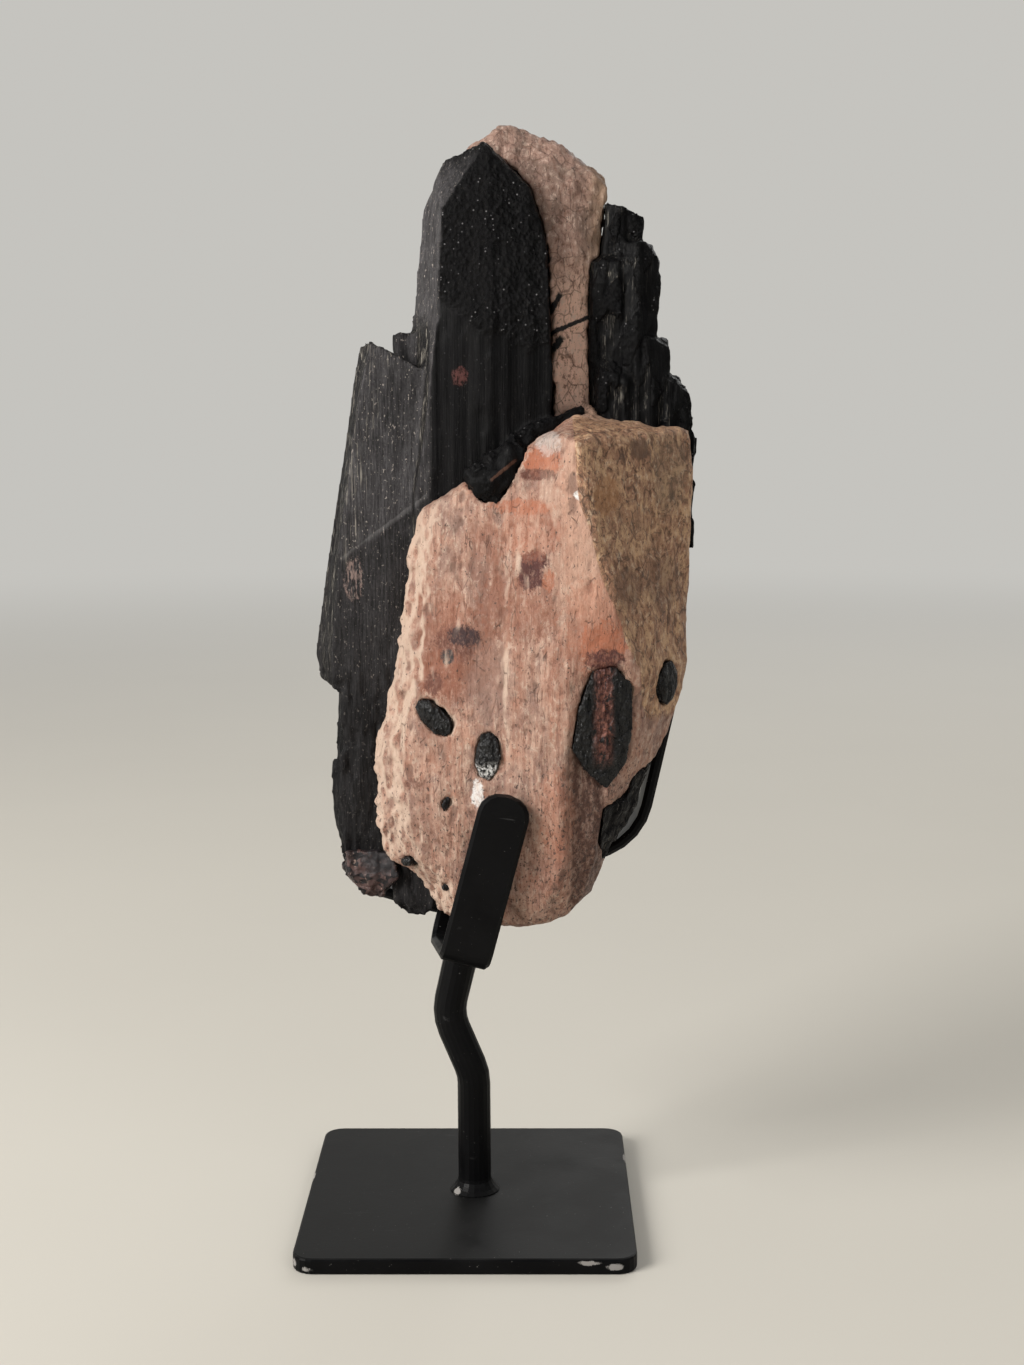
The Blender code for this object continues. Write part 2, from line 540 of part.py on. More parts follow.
def strap(name, corners, bends, place, tips, twist=0.0):
    """A flat bar with chamfered edges and rounded tips, bent in its own XZ plane and then put in place."""
    points = rounded_path(corners, bends)
    first = round_tip(points[0], (points[1] - points[0]).normalized(), tips[0])
    last = round_tip(points[-1], (points[-2] - points[-1]).normalized(), tips[1])
    stations = first + [(p, STRAP_WIDTH / 2) for p in points[1:-1]] + last[::-1]
    line = [p for p, _ in stations]
    bm = bmesh.new()
    rings = []
    for i, point in enumerate(line):
        along = (line[min(i + 1, len(line) - 1)] - line[max(i - 1, 0)]).normalized()
        across = Vector((0, 1, 0))
        out = along.cross(across)
        turn = math.radians(twist) * max(0.0, 2 * i / (len(line) - 1) - 1)
        across, out = (
            across * math.cos(turn) + out * math.sin(turn),
            out * math.cos(turn) - across * math.sin(turn),
        )
        wide, deep = stations[i][1], STRAP_THICK / 2
        flat, side = wide - STRAP_CHAMFER, deep - STRAP_CHAMFER
        section = [(wide, side), (flat, deep), (-flat, deep), (-wide, side)]
        section += [(-w, -t) for w, t in section]
        rings.append([bm.verts.new(point + across * w + out * t) for w, t in section])
    count = len(rings[0])
    for low, high in zip(rings, rings[1:]):
        for k in range(count):
            bm.faces.new((low[k], low[(k + 1) % count], high[(k + 1) % count], high[k]))
    bm.faces.new(rings[0])
    bm.faces.new(reversed(rings[-1]))
    bmesh.ops.remove_doubles(bm, verts=bm.verts, dist=0.01)
    bmesh.ops.transform(bm, matrix=place, verts=bm.verts)
    return add_object(name, bm, "black_steel")


def build_stand():
    inset = PLATE_SIDE / 2 - PLATE_CORNER
    outline = []
    for quarter, (sx, sy) in enumerate(((1, 1), (-1, 1), (-1, -1), (1, -1))):
        for i in range(CORNER_STEPS + 1):
            angle = math.radians(90) * (quarter + i / CORNER_STEPS)
            x = sx * inset + math.cos(angle) * PLATE_CORNER
            y = sy * inset + math.sin(angle) * PLATE_CORNER
            outline.append((x, y))
    plate = loft([(0.0, outline), (PLATE_THICK, outline)])
    bevel_edges(add_object("base_plate", plate, "black_steel"), PLATE_BEVEL)
    build_stem()
    build_straps()


def hook_place():
    """Turns the hook from its own plane to its heading, and leans it about its foot."""
    upright = Matrix.Translation((0, 0, -HOOK_FLOOR))
    lean = Matrix.Rotation(math.radians(HOOK_LEAN), 4, "Y")
    turn = Matrix.Rotation(math.radians(HOOK_HEADING - 90), 4, "Z")
    return Matrix.Translation(HOOK_FOOT) @ lean @ turn @ upright


def hook_underside():
    """A point a clearance below the hook's floor, and the floor's upward direction."""
    place = hook_place()
    rear, front = place @ Vector(HOOK_PATH[1]), place @ Vector(HOOK_PATH[2])
    across = place.to_3x3() @ Vector((0, 1, 0))
    facing = (front - rear).cross(across).normalized()
    return rear - facing * (STRAP_THICK / 2 + GAP), facing


def build_stem():
    """The bent rod, with its weld spread out at the foot and its top cut to the hook's slope."""
    foot = (STEM_PATH[0][0], 0, PLATE_THICK + GAP)
    line = rounded_path([foot] + STEM_PATH[1:], STEM_BENDS)
    rise = (line[1] - line[0]).normalized() * WELD_HEIGHT / WELD_STEPS
    stations = [line[0] + rise * i for i in range(WELD_STEPS + 1)] + line[1:]
    bm = bmesh.new()
    rings = []
    for i, point in enumerate(stations):
        along = (stations[min(i + 1, len(stations) - 1)] - stations[max(i - 1, 0)]).normalized()
        if i in (0, len(stations) - 1):
            along = Vector((0, 0, 1))
        side = along.cross(Vector((0, 1, 0))).normalized()
        spread = max(0.0, 1 - (point.z - stations[0].z) / WELD_HEIGHT)
        radius = STEM_DIAMETER / 2 + WELD_SPREAD * spread**2
        ring = []
        for k in range(STEM_SIDES):
            turn = math.tau * k / STEM_SIDES
            reach = side * math.cos(turn) + Vector((0, 1, 0)) * math.sin(turn)
            ring.append(bm.verts.new(point + reach * radius))
        rings.append(ring)
    under, facing = hook_underside()
    for vertex in rings[-1]:
        offset = vertex.co - under
        vertex.co.z -= offset.dot(facing) / facing.z
    for low, high in zip(rings, rings[1:]):
        for k in range(STEM_SIDES):
            bm.faces.new((low[k], low[(k + 1) % STEM_SIDES], high[(k + 1) % STEM_SIDES], high[k]))
    bm.faces.new(rings[0])
    bm.faces.new(reversed(rings[-1]))
    stem = add_object("stem", bm, "black_steel")
    stem.data.shade_smooth()
    stem.data.set_sharp_from_angle(angle=math.radians(40))


def build_straps():
    """The hook that holds the stone's front, and the wide strap that holds its back from both sides."""
    strap("front_hook", HOOK_PATH, HOOK_BENDS, hook_place(), (0.0, HOOK_CORNER), HOOK_TWIST)
    back = Matrix.Translation((0, CRADLE_DEPTH, 0))
    strap("rear_cradle", CRADLE_PATH, CRADLE_BENDS, back, (CRADLE_CORNER, CRADLE_CORNER))


def main():
    clear_scene()
    build_tourmaline()
    for name, shape in INCLUSIONS.items():
        inclusion(name, *shape)
    build_mica()
    build_feldspar()
    build_stand()


main()
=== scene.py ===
"""Looks for the black tourmaline and feldspar specimen on its black steel stand.

Sizes are in millimetres and become metres through MM, apart from the studio's, which are in metres. Each stone piece
is a fine remesh of a frame's solid, with its surface moved in code for striations, grains, steps and pits. The steel
pieces are the frame's own solids.
"""

import math
from itertools import product

import bpy
import numpy as np
from mathutils import Matrix, Vector


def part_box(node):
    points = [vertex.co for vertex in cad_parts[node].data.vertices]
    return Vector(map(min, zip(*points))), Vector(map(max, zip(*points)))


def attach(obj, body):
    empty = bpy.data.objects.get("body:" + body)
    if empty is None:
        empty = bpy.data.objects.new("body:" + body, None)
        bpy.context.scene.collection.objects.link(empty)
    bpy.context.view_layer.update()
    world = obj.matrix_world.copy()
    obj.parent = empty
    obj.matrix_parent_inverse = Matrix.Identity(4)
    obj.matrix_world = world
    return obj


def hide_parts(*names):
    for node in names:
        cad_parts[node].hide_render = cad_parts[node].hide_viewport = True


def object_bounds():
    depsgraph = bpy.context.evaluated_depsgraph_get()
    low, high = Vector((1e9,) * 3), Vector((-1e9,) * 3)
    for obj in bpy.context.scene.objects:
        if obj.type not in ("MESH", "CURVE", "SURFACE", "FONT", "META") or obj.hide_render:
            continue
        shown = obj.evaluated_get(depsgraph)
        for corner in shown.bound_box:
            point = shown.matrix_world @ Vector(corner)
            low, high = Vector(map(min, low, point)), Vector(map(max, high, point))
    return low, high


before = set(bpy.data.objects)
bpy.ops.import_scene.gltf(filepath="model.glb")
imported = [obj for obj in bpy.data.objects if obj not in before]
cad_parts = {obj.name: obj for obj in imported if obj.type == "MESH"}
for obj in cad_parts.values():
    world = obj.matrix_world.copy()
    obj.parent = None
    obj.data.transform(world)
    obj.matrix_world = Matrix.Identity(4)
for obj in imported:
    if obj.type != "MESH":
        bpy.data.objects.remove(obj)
CAD_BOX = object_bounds()

MM = 0.001

# The photograph's camera, fitted to the base plate's edges, with its turns in degrees
FRAME_HEIGHT_PX = 1365
FOCAL_PX = 1890.0
SENSOR = 36.0
CAMERA_PLACE = (19.23, -562.33, 247.75)
CAMERA_PITCH = 8.393
CAMERA_ROLL = -0.2315
CAMERA_YAW = 0.540


# Noise in numpy, on points in millimetres

# The hash behind it: a factor for each axis, then a shift and a factor for each round
HASH_AXES = (0x9E3779B1, 0x85EBCA77, 0xC2B2AE3D)
HASH_ROUNDS = ((15, 0x2C1B3C6D), (12, 0x297A2D39))
HASH_LAST_SHIFT = 15
HASH_TOP = 0xFFFFFFFF
HASH_SEED_STEP = 7919
HASH_SEED_START = 13
OCTAVE_SEED_STEP = 17
BEYOND_CELLS = 9.0  # further than any neighbouring cell's middle


def lattice(cells, seed):
    """A number from 0 to 1 for each whole-number cell."""
    c = cells.astype(np.int64).astype(np.uint64)
    top = np.uint64(HASH_TOP)
    mix = np.uint64(seed * HASH_SEED_STEP + HASH_SEED_START)
    for axis, factor in enumerate(HASH_AXES):
        mix = mix + c[..., axis] * np.uint64(factor)
    mix = mix & top
    for shift, factor in HASH_ROUNDS:
        mix = ((mix ^ (mix >> np.uint64(shift))) * np.uint64(factor)) & top
    return ((mix ^ (mix >> np.uint64(HASH_LAST_SHIFT))) & top).astype(float) / HASH_TOP


def noise(points, size, seed):
    """Smooth noise from -1 to 1, with features of the given size along each axis."""
    p = points / np.array(size, float)
    low = np.floor(p)
    f = p - low
    f = f * f * f * (f * (f * 6 - 15) + 10)
    total = np.zeros(len(p))
    for corner in product((0, 1), repeat=3):
        share = np.ones(len(p))
        for axis, step in enumerate(corner):
            share = share * (f[:, axis] if step else 1 - f[:, axis])
        total += share * lattice(low + corner, seed)
    return total * 2 - 1


def layered(points, size, octaves, seed):
    """Noise with finer and weaker noise on top."""
    size = np.array(size, float)
    total = 0.0
    weight = 0.0
    for i in range(octaves):
        total = total + noise(points, size / 2**i, seed + i * OCTAVE_SEED_STEP) / 2**i
        weight += 1 / 2**i
    return total / weight


def cells(points, size, seed):
    """Random cells: each point's cell number, and how far it is from the cell's border, both from 0 to 1."""
    p = points / np.array(size, float)
    low = np.floor(p)
    best = np.full(len(p), BEYOND_CELLS)
    second = np.full(len(p), BEYOND_CELLS)
    number = np.zeros(len(p))
    for step in product((-1, 0, 1), repeat=3):
        cell = low + step
        middle = cell + np.stack([lattice(cell, seed + k) for k in (1, 2, 3)], axis=1)
        far = np.linalg.norm(p - middle, axis=1)
        nearer = far < best
        second = np.where(nearer, best, np.minimum(second, far))
        number = np.where(nearer, lattice(cell, seed + 4), number)
        best = np.where(nearer, far, best)
    return number, np.clip(second - best, 0, 1)


def ramp(value, low, high):
    """0 below low, 1 above high, smooth between. High may be under low."""
    t = np.clip((value - low) / (high - low), 0, 1)
    return t * t * (3 - 2 * t)


def flats(number, border, slope, middle=0.5):
    """Cells as flat steps up and down that meet at zero height over a slope."""
    return (number - middle) * ramp(border, 0.0, slope)


def over_line(points, start, rise):
    """Height over a line that starts at an X and Z and rises by so much for each unit of X."""
    return points[:, 2] - start[1] - rise * (points[:, 0] - start[0])


# Meshes

SMOOTHING_FACTOR = 0.5


def apply_modifiers(obj):
    bpy.context.view_layer.update()
    graph = bpy.context.evaluated_depsgraph_get()
    mesh = bpy.data.meshes.new_from_object(obj.evaluated_get(graph))
    obj.modifiers.clear()
    obj.data = mesh


def dense_copy(node, voxel, smoothing):
    """A finely remeshed copy of a frame node, smoothed a number of times."""
    obj = bpy.data.objects.new(node + "_skin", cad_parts[node].data.copy())
    bpy.context.scene.collection.objects.link(obj)
    even = obj.modifiers.new("even", "REMESH")
    even.mode = "VOXEL"
    even.voxel_size = voxel * MM
    soft = obj.modifiers.new("soft", "SMOOTH")
    soft.factor = SMOOTHING_FACTOR
    soft.iterations = smoothing
    apply_modifiers(obj)
    obj.data.materials.clear()
    return obj


def points_of(obj):
    """Vertex places in millimetres and vertex normals."""
    mesh = obj.data
    count = len(mesh.vertices)
    places = np.empty(count * 3)
    mesh.vertices.foreach_get("co", places)
    normals = np.empty(count * 3)
    mesh.vertex_normals.foreach_get("vector", normals)
    return places.reshape(-1, 3) / MM, normals.reshape(-1, 3)


def put_points(obj, points):
    """Sets the vertices from millimetres, kept inside the CAD model's box."""
    low, high = (np.array(corner, float) / MM for corner in CAD_BOX)
    points = np.clip(points, low, high)
    obj.data.vertices.foreach_set("co", (points * MM).ravel())
    obj.data.shade_smooth()
    obj.data.update()


def set_number(obj, name, values):
    """Stores one number per vertex, for the material to read."""
    data = obj.data.attributes.new(name, "FLOAT", "POINT")
    data.data.foreach_set("value", np.asarray(values, dtype=np.float32))


def dress(obj, material, node):
    """Gives a piece its material and its place in the frame."""
    obj.data.materials.append(material)
    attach(obj, "root")
    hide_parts(node)


# Materials

MIX_INPUTS = (0, 6, 7)  # the mix node's sockets for the share and the two colours
MIX_OUTPUT = 2
CRACK_CORE = 0.3  # share of a crack's width that is fully dark
RAGGED_SIZE = (1.9, 1.9, 2.4)
SPOT_UNEVEN = 2.2
SPOT_EDGE = 0.15
STROKE_UNEVEN = 1.6
STROKE_EDGES = (0.65, 0.4)  # where a stroke fades out, as shares of its width
STROKE_END = 0.6


class Nodes:
    """Short calls for the shader nodes that this scene needs."""

    def __init__(self, tree, place):
        self.tree = tree
        self.place = place
        self.wobble = None

    def node(self, kind, inputs=(), **settings):
        made = self.tree.nodes.new(kind)
        for key, value in settings.items():
            setattr(made, key, value)
        for key, value in dict(inputs).items():
            self.feed(made.inputs[key], value)
        return made

    def feed(self, socket, value):
        if isinstance(value, bpy.types.NodeSocket):
            self.tree.links.new(value, socket)
        elif isinstance(value, tuple) and len(value) == 3 and socket.type == "RGBA":
            socket.default_value = (*value, 1.0)
        else:
            socket.default_value = value

    def vector(self, operation, a, b=(0.0, 0.0, 0.0), output="Vector"):
        return self.node("ShaderNodeVectorMath", {0: a, 1: b}, operation=operation).outputs[output]

    def scaled(self, size):
        """Coordinates in which one unit is size millimetres along each axis."""
        return self.vector("MULTIPLY", self.place, tuple(1 / (s * MM) for s in size))

    def noise(self, size, detail, roughness=0.5, warp=0.0):
        inputs = {"Vector": self.scaled(size), "Scale": 1.0, "Detail": detail}
        inputs.update({"Roughness": roughness, "Distortion": warp})
        return self.node("ShaderNodeTexNoise", inputs).outputs[0]

    def grains(self, size, output="Distance", feature="F1"):
        inputs = {"Vector": self.scaled(size), "Scale": 1.0}
        return self.node("ShaderNodeTexVoronoi", inputs, feature=feature).outputs[output]

    def cracks(self, size, width):
        """1 along the borders of random cells, 0 inside them."""
        return self.step(self.grains(size, feature="DISTANCE_TO_EDGE"), width, width * CRACK_CORE)

    def math(self, operation, a, b=0.0, c=0.0):
        return self.node("ShaderNodeMath", {0: a, 1: b, 2: c}, operation=operation).outputs[0]

    def times(self, *values):
        total = values[0]
        for value in values[1:]:
            total = self.math("MULTIPLY", total, value)
        return total

    def step(self, value, low, high):
        """0 at low, 1 at high, smooth between."""
        inputs = {"Value": value, "From Min": low, "From Max": high}
        return self.node("ShaderNodeMapRange", inputs, interpolation_type="SMOOTHSTEP").outputs[0]

    def past(self, place, start, end):
        """0 at start and 1 at end, two places in millimetres along an axis."""
        return self.step(place, start * MM, end * MM)

    def between(self, value, low, high):
        """Straight from low to high as value goes from 0 to 1."""
        return self.node("ShaderNodeMapRange", {"Value": value, "To Min": low, "To Max": high}).outputs[0]

    def mix(self, share, a, b):
        made = self.node("ShaderNodeMix", data_type="RGBA")
        for index, value in zip(MIX_INPUTS, (share, a, b)):
            self.feed(made.inputs[index], value)
        return made.outputs[MIX_OUTPUT]

    def tint(self, colour, other, share, *masks):
        """The colour, with another over it where all the masks are 1, as strong as share."""
        return self.mix(self.times(*masks, share), colour, other)

    def number(self, name):
        return self.node("ShaderNodeAttribute", attribute_name=name).outputs["Fac"]

    def axis(self, which, of=None):
        return self.node("ShaderNodeSeparateXYZ", {0: of or self.place}).outputs[which]

    def facing(self, which):
        """The surface's direction along one axis, from -1 to 1."""
        return self.axis(which, self.node("ShaderNodeNewGeometry").outputs["Normal"])

    def ragged(self):
        """Noise round zero that makes the edges of spots and strokes uneven."""
        if self.wobble is None:
            self.wobble = self.math("SUBTRACT", self.noise(RAGGED_SIZE, 7, 0.8, warp=0.6), 0.5)
        return self.wobble

    def spot(self, middle, reach):
        """1 inside a ragged egg round a point in millimetres, 0 outside."""
        moved = self.vector("ADD", self.place, tuple(-m * MM for m in middle))
        egg = self.vector("MULTIPLY", moved, tuple(1 / (r * MM) for r in reach))
        far = self.vector("LENGTH", egg, output="Value")
        far = self.math("MULTIPLY_ADD", self.ragged(), SPOT_UNEVEN, far)
        return self.step(far, 1 + SPOT_EDGE, 1 - SPOT_EDGE)

    def along(self, start, direction):
        """How far each place lies beyond start in a direction, both given as X and Z."""
        reach = (direction.x / MM, 0, direction.y / MM)
        dot = self.vector("DOT_PRODUCT", self.place, reach, "Value")
        return self.math("SUBTRACT", dot, direction.dot(start))

    def stroke(self, start, end, width):
        """1 on a ragged line between two points, given as X and Z in millimetres, seen from the front."""
        start = Vector(start)
        run = Vector(end) - start
        half = run.length / 2
        ahead = run.normalized()
        side = Vector((-ahead.y, ahead.x))
        off = self.math("MULTIPLY_ADD", self.ragged(), STROKE_UNEVEN * width, self.along(start, side))
        near = self.step(self.math("ABSOLUTE", off), *(width * edge for edge in STROKE_EDGES))
        reach = self.math("ABSOLUTE", self.math("SUBTRACT", self.along(start, ahead), half))
        return self.times(near, self.step(reach, half + STROKE_END, half - STROKE_END))


class Shader(Nodes):
    """A Principled material on the object's own coordinates."""

    def __init__(self, name, roughness, specular):
        self.material = bpy.data.materials.new(name)
        self.material.use_nodes = True
        tree = self.material.node_tree
        super().__init__(tree, tree.nodes.new("ShaderNodeTexCoord").outputs["Object"])
        self.principled = tree.nodes["Principled BSDF"]
        self.principled.inputs["Roughness"].default_value = roughness
        self.principled.inputs["Specular IOR Level"].default_value = specular

    def bump(self, height, distance, strength, under=None):
        inputs = {"Height": height, "Distance": distance * MM, "Strength": strength}
        if under is not None:
            inputs["Normal"] = under
        return self.node("ShaderNodeBump", inputs).outputs[0]

    def finish(self, colour, roughness=None, normal=None):
        self.feed(self.principled.inputs["Base Color"], colour)
        if roughness is not None:
            self.feed(self.principled.inputs["Roughness"], roughness)
        if normal is not None:
            self.feed(self.principled.inputs["Normal"], normal)
        return self.material


# Feldspar

PEACH = (0.37, 0.20, 0.142)
PALE_PEACH_AND_PAINTED_HIGHLIGHT = (0.60, 0.37, 0.27)
CREAM = (0.49, 0.315, 0.238)
PINK_GREY = (0.27, 0.165, 0.13)
PINK_BROWN = (0.20, 0.098, 0.070)
PAINTED_PIT_SHADE = (0.14, 0.075, 0.055)
TAN = (0.34, 0.18, 0.108)
DARK_TAN = (0.13, 0.068, 0.042)
SAND = (0.66, 0.49, 0.34)
OCHRE = (0.56, 0.35, 0.205)
DULL_OCHRE = (0.36, 0.24, 0.15)
AMBER = (0.40, 0.20, 0.09)
OLIVE = (0.20, 0.16, 0.11)
UMBER = (0.13, 0.072, 0.046)
DUSTY_PINK = (0.36, 0.225, 0.175)
DUSTY_BROWN = (0.17, 0.085, 0.06)
PALE_DUST = (0.62, 0.46, 0.37)
ASH_PINK = (0.24, 0.158, 0.122)
VEIN_PINK_PAINTED_LIGHT = (0.82, 0.53, 0.405)
WARM_BROWN = (0.22, 0.115, 0.08)
RUST = (0.125, 0.046, 0.031)
DARK_RUST = (0.10, 0.05, 0.035)
RED_BROWN = (0.25, 0.098, 0.06)
DEEP_RED = (0.085, 0.028, 0.024)
PURPLE = (0.045, 0.022, 0.022)
ORANGE = (0.40, 0.14, 0.075)
STRIP_BROWN = (0.095, 0.046, 0.033)
CRACK_BROWN = (0.08, 0.045, 0.03)
FISSURE = (0.10, 0.055, 0.042)
SPECK = (0.045, 0.028, 0.024)
SOOT = (0.04, 0.035, 0.035)
MILK = (0.55, 0.41, 0.32)
GREY_WHITE = (0.60, 0.57, 0.54)
WHITE_STREAK = (0.84, 0.82, 0.80)
WHITE_SPOT = (0.86, 0.84, 0.82)
CRYSTAL = (0.008, 0.008, 0.009)

# Stains on the feldspar's front: middle, reach, colour and strength
STAINS = [
    ((15.0, -31.0, 191.0), (12, 14, 10), RED_BROWN, 0.6),
    ((-3.0, -27.0, 177.5), (13, 14, 15), RED_BROWN, 0.55),
    ((-2.0, -27.0, 179.5), (6.5, 14, 5.5), RUST, 0.8),
    ((-6.5, -26.0, 171.0), (7.0, 14, 7.0), RED_BROWN, 0.9),
    ((-8.5, -26.0, 168.0), (2.5, 14, 3.5), RUST, 0.8),
    ((-5.0, -26.0, 190.0), (7.0, 14, 8.0), RED_BROWN, 0.3),
    ((5.0, -28.0, 205.0), (6.0, 14, 9.0), RED_BROWN, 0.3),
    ((0.8, -27.0, 182.0), (4.4, 14, 3.0), PURPLE, 1.0),
    ((-4.4, -26.0, 176.0), (1.9, 14, 2.2), SOOT, 0.95),
    ((20.5, -31.0, 203.8), (4.4, 14, 2.8), DEEP_RED, 1.0),
    ((19.6, -31.0, 199.6), (3.6, 14, 4.2), DEEP_RED, 1.0),
    ((24.6, -33.0, 198.4), (1.7, 14, 3.0), ORANGE, 0.7),
    ((38.5, -34.0, 186.0), (9.5, 14, 14.0), ORANGE, 0.4),
    ((40.0, -34.0, 180.0), (6.5, 14, 7.0), ORANGE, 0.8),
    ((40.5, -34.0, 176.0), (5.5, 12, 3.0), DEEP_RED, 0.85),
    ((23.0, -27.0, 231.5), (5.5, 12, 4.5), ORANGE, 1.0),
    ((21.5, -27.0, 228.0), (5.5, 12, 1.6), RUST, 0.9),
    ((17.5, -28.0, 219.0), (8.5, 12, 2.2), ORANGE, 0.7),
    ((20.0, -29.0, 212.0), (9.0, 12, 8.0), ORANGE, 0.35),
    ((24.5, -27.0, 237.0), (3.6, 12, 3.6), GREY_WHITE, 0.45),
    ((-21.0, -16.0, 123.0), (3.2, 10, 4.5), RUST, 0.6),
    ((-15.0, -20.0, 138.5), (2.4, 10, 1.6), RUST, 0.6),
    ((-12.0, -22.0, 125.0), (6.0, 12, 14.0), PINK_BROWN, 0.35),
    ((8.0, -29.0, 168.0), (7.0, 14, 12.0), PINK_GREY, 0.5),
    ((4.2, -28.0, 136.3), (1.7, 10, 4.2), WHITE_STREAK, 0.8),
    ((27.0, -33.0, 131.0), (5.0, 12, 14.0), ORANGE, 0.22),
    ((32.8, -36.0, 222.6), (1.2, 6, 1.3), WHITE_SPOT, 0.9),
]
# Stains on the feldspar's right face
RIGHT_STAINS = [
    ((50.8, -20.0, 235.0), (3.0, 12, 3.2), UMBER, 0.85),
    ((41.0, -30.0, 222.0), (4.0, 10, 5.5), AMBER, 0.6),
    ((50.0, -22.0, 212.0), (9.0, 16, 9.0), OCHRE, 0.15),
    ((58.0, -16.0, 196.0), (7.0, 12, 8.0), UMBER, 0.4),
    ((47.0, -28.0, 196.0), (5.0, 10, 6.0), UMBER, 0.5),
    ((60.0, -12.0, 228.0), (6.0, 12, 12.0), OLIVE, 0.3),
]
# The ridge between the feldspar's front and its right face, from the bottom: X and Z
RIDGE = [
    (53, 150),
    (50.4, 173.1),
    (47, 179.7),
    (43.9, 189.3),
    (39.6, 198.7),
    (36.2, 212.7),
    (32.9, 221.1),
    (31.7, 238.8),
]
# Thin black crystals that cross the vein: two ends as X and Z, and the width
VEIN_CRYSTALS = [
    ((24.6, 272.6), (28.6, 279.4), 1.5),
    ((24.9, 267.6), (38.4, 273.4), 1.2),
    ((26.0, 262.8), (29.0, 267.0), 2.0),
]


def front_colour(s, mottle, patches):
    """The front: pale and peach streaks run upright, with pinker and greyer patches over them."""
    x = s.axis(0)
    z = s.axis(2)
    streaks = s.noise((1.7, 2.4, 30), 6, 0.66)
    colour = s.mix(s.step(streaks, 0.40, 0.62), PEACH, CREAM)
    colour = s.tint(colour, PINK_GREY, 0.85, s.step(patches, 0.47, 0.64))
    colour = s.tint(colour, ORANGE, 0.30, s.step(patches, 0.48, 0.34))
    colour = s.tint(colour, MILK, 0.7, s.step(mottle, 0.53, 0.63))
    colour = s.tint(colour, PINK_BROWN, 0.8, s.step(mottle, 0.47, 0.37))
    threads = s.noise((0.8, 1.2, 13), 5, 0.7)
    colour = s.tint(colour, PINK_BROWN, 0.65, s.step(threads, 0.55, 0.68))
    worn = s.noise((14, 14, 26), 5, 0.7, warp=0.6)
    colour = s.tint(colour, RED_BROWN, 0.5, s.step(worn, 0.50, 0.66))
    # the ridge between the two faces is pale and even: paler stone, with painted highlight for the side light it
    # catches
    ridge = s.times(s.past(s.axis(1), -32.5, -34.5), s.past(z, 178, 196))
    colour = s.tint(colour, PALE_PEACH_AND_PAINTED_HIGHLIGHT, 0.6, ridge)
    # the brown strip below the large inclusion
    strip = s.times(s.past(x, 30.5, 31.8), s.past(x, 41.5, 39.5), s.past(z, 152, 147))
    colour = s.tint(colour, STRIP_BROWN, s.between(s.step(mottle, 0.58, 0.44), 0.55, 1.0), strip)
    # painted shade in the pits and painted highlight in milky colour on the raised grain, following the surface
    # relief
    relief = s.number("relief")
    colour = s.tint(colour, PAINTED_PIT_SHADE, 0.6, s.step(relief, -0.22, -0.75))
    colour = s.tint(colour, MILK, 0.15, s.step(relief, 0.25, 0.8))
    patchy = s.between(s.step(s.noise((1.0, 1.0, 1.5), 6, 0.75), 0.36, 0.56), 0.5, 1.15)
    for middle, reach, stain, strength in STAINS:
        colour = s.tint(colour, stain, strength, s.spot(middle, reach), patchy)
    return colour


def right_colour(s, mottle, blotches):
    """The shaded right face: tan and brown."""
    colour = s.mix(s.step(blotches, 0.47, 0.60), TAN, OCHRE)
    colour = s.tint(colour, UMBER, 0.9, s.step(blotches, 0.47, 0.37))
    colour = s.tint(colour, SAND, 0.7, s.step(mottle, 0.53, 0.64))
    colour = s.tint(colour, DARK_TAN, 0.75, s.step(mottle, 0.47, 0.38))
    cracks = s.times(s.cracks((4.5, 4.5, 6.0), 0.05), s.step(blotches, 0.56, 0.46))
    colour = s.tint(colour, CRACK_BROWN, 0.75, cracks)
    for middle, reach, stain, strength in RIGHT_STAINS:
        colour = s.tint(colour, stain, strength, s.spot(middle, reach))
    return colour


def vein_colour(s, mottle, patches, blotches):
    """The dome and the vein behind: dusty, paler low down as painted light, and ochre along their right edge."""
    colour = s.mix(s.step(patches, 0.42, 0.60), DUSTY_PINK, ASH_PINK)
    # painted light: the lower part is made much paler, to make up for the shade the middle crystal casts on the vein
    colour = s.tint(colour, VEIN_PINK_PAINTED_LIGHT, 0.9, s.past(s.axis(2), 296, 276))
    colour = s.tint(colour, PALE_DUST, 0.7, s.step(mottle, 0.53, 0.63))
    colour = s.tint(colour, DUSTY_BROWN, 0.8, s.step(mottle, 0.47, 0.37))
    colour = s.tint(colour, WARM_BROWN, 0.6, s.step(blotches, 0.46, 0.36))
    cracks = s.times(s.cracks((4.0, 4.0, 5.0), 0.05), s.step(blotches, 0.58, 0.48))
    colour = s.tint(colour, DARK_RUST, 0.6, cracks)
    edge = s.math("ADD", s.axis(0), s.times(s.ragged(), 12 * MM))
    colour = s.tint(colour, DULL_OCHRE, 0.7, s.past(edge, 34, 43))
    front = s.step(s.facing(1), 0.1, -0.1)
    for start, end, width in VEIN_CRYSTALS:
        colour = s.tint(colour, CRYSTAL, front, s.stroke(start, end, width))
    return colour


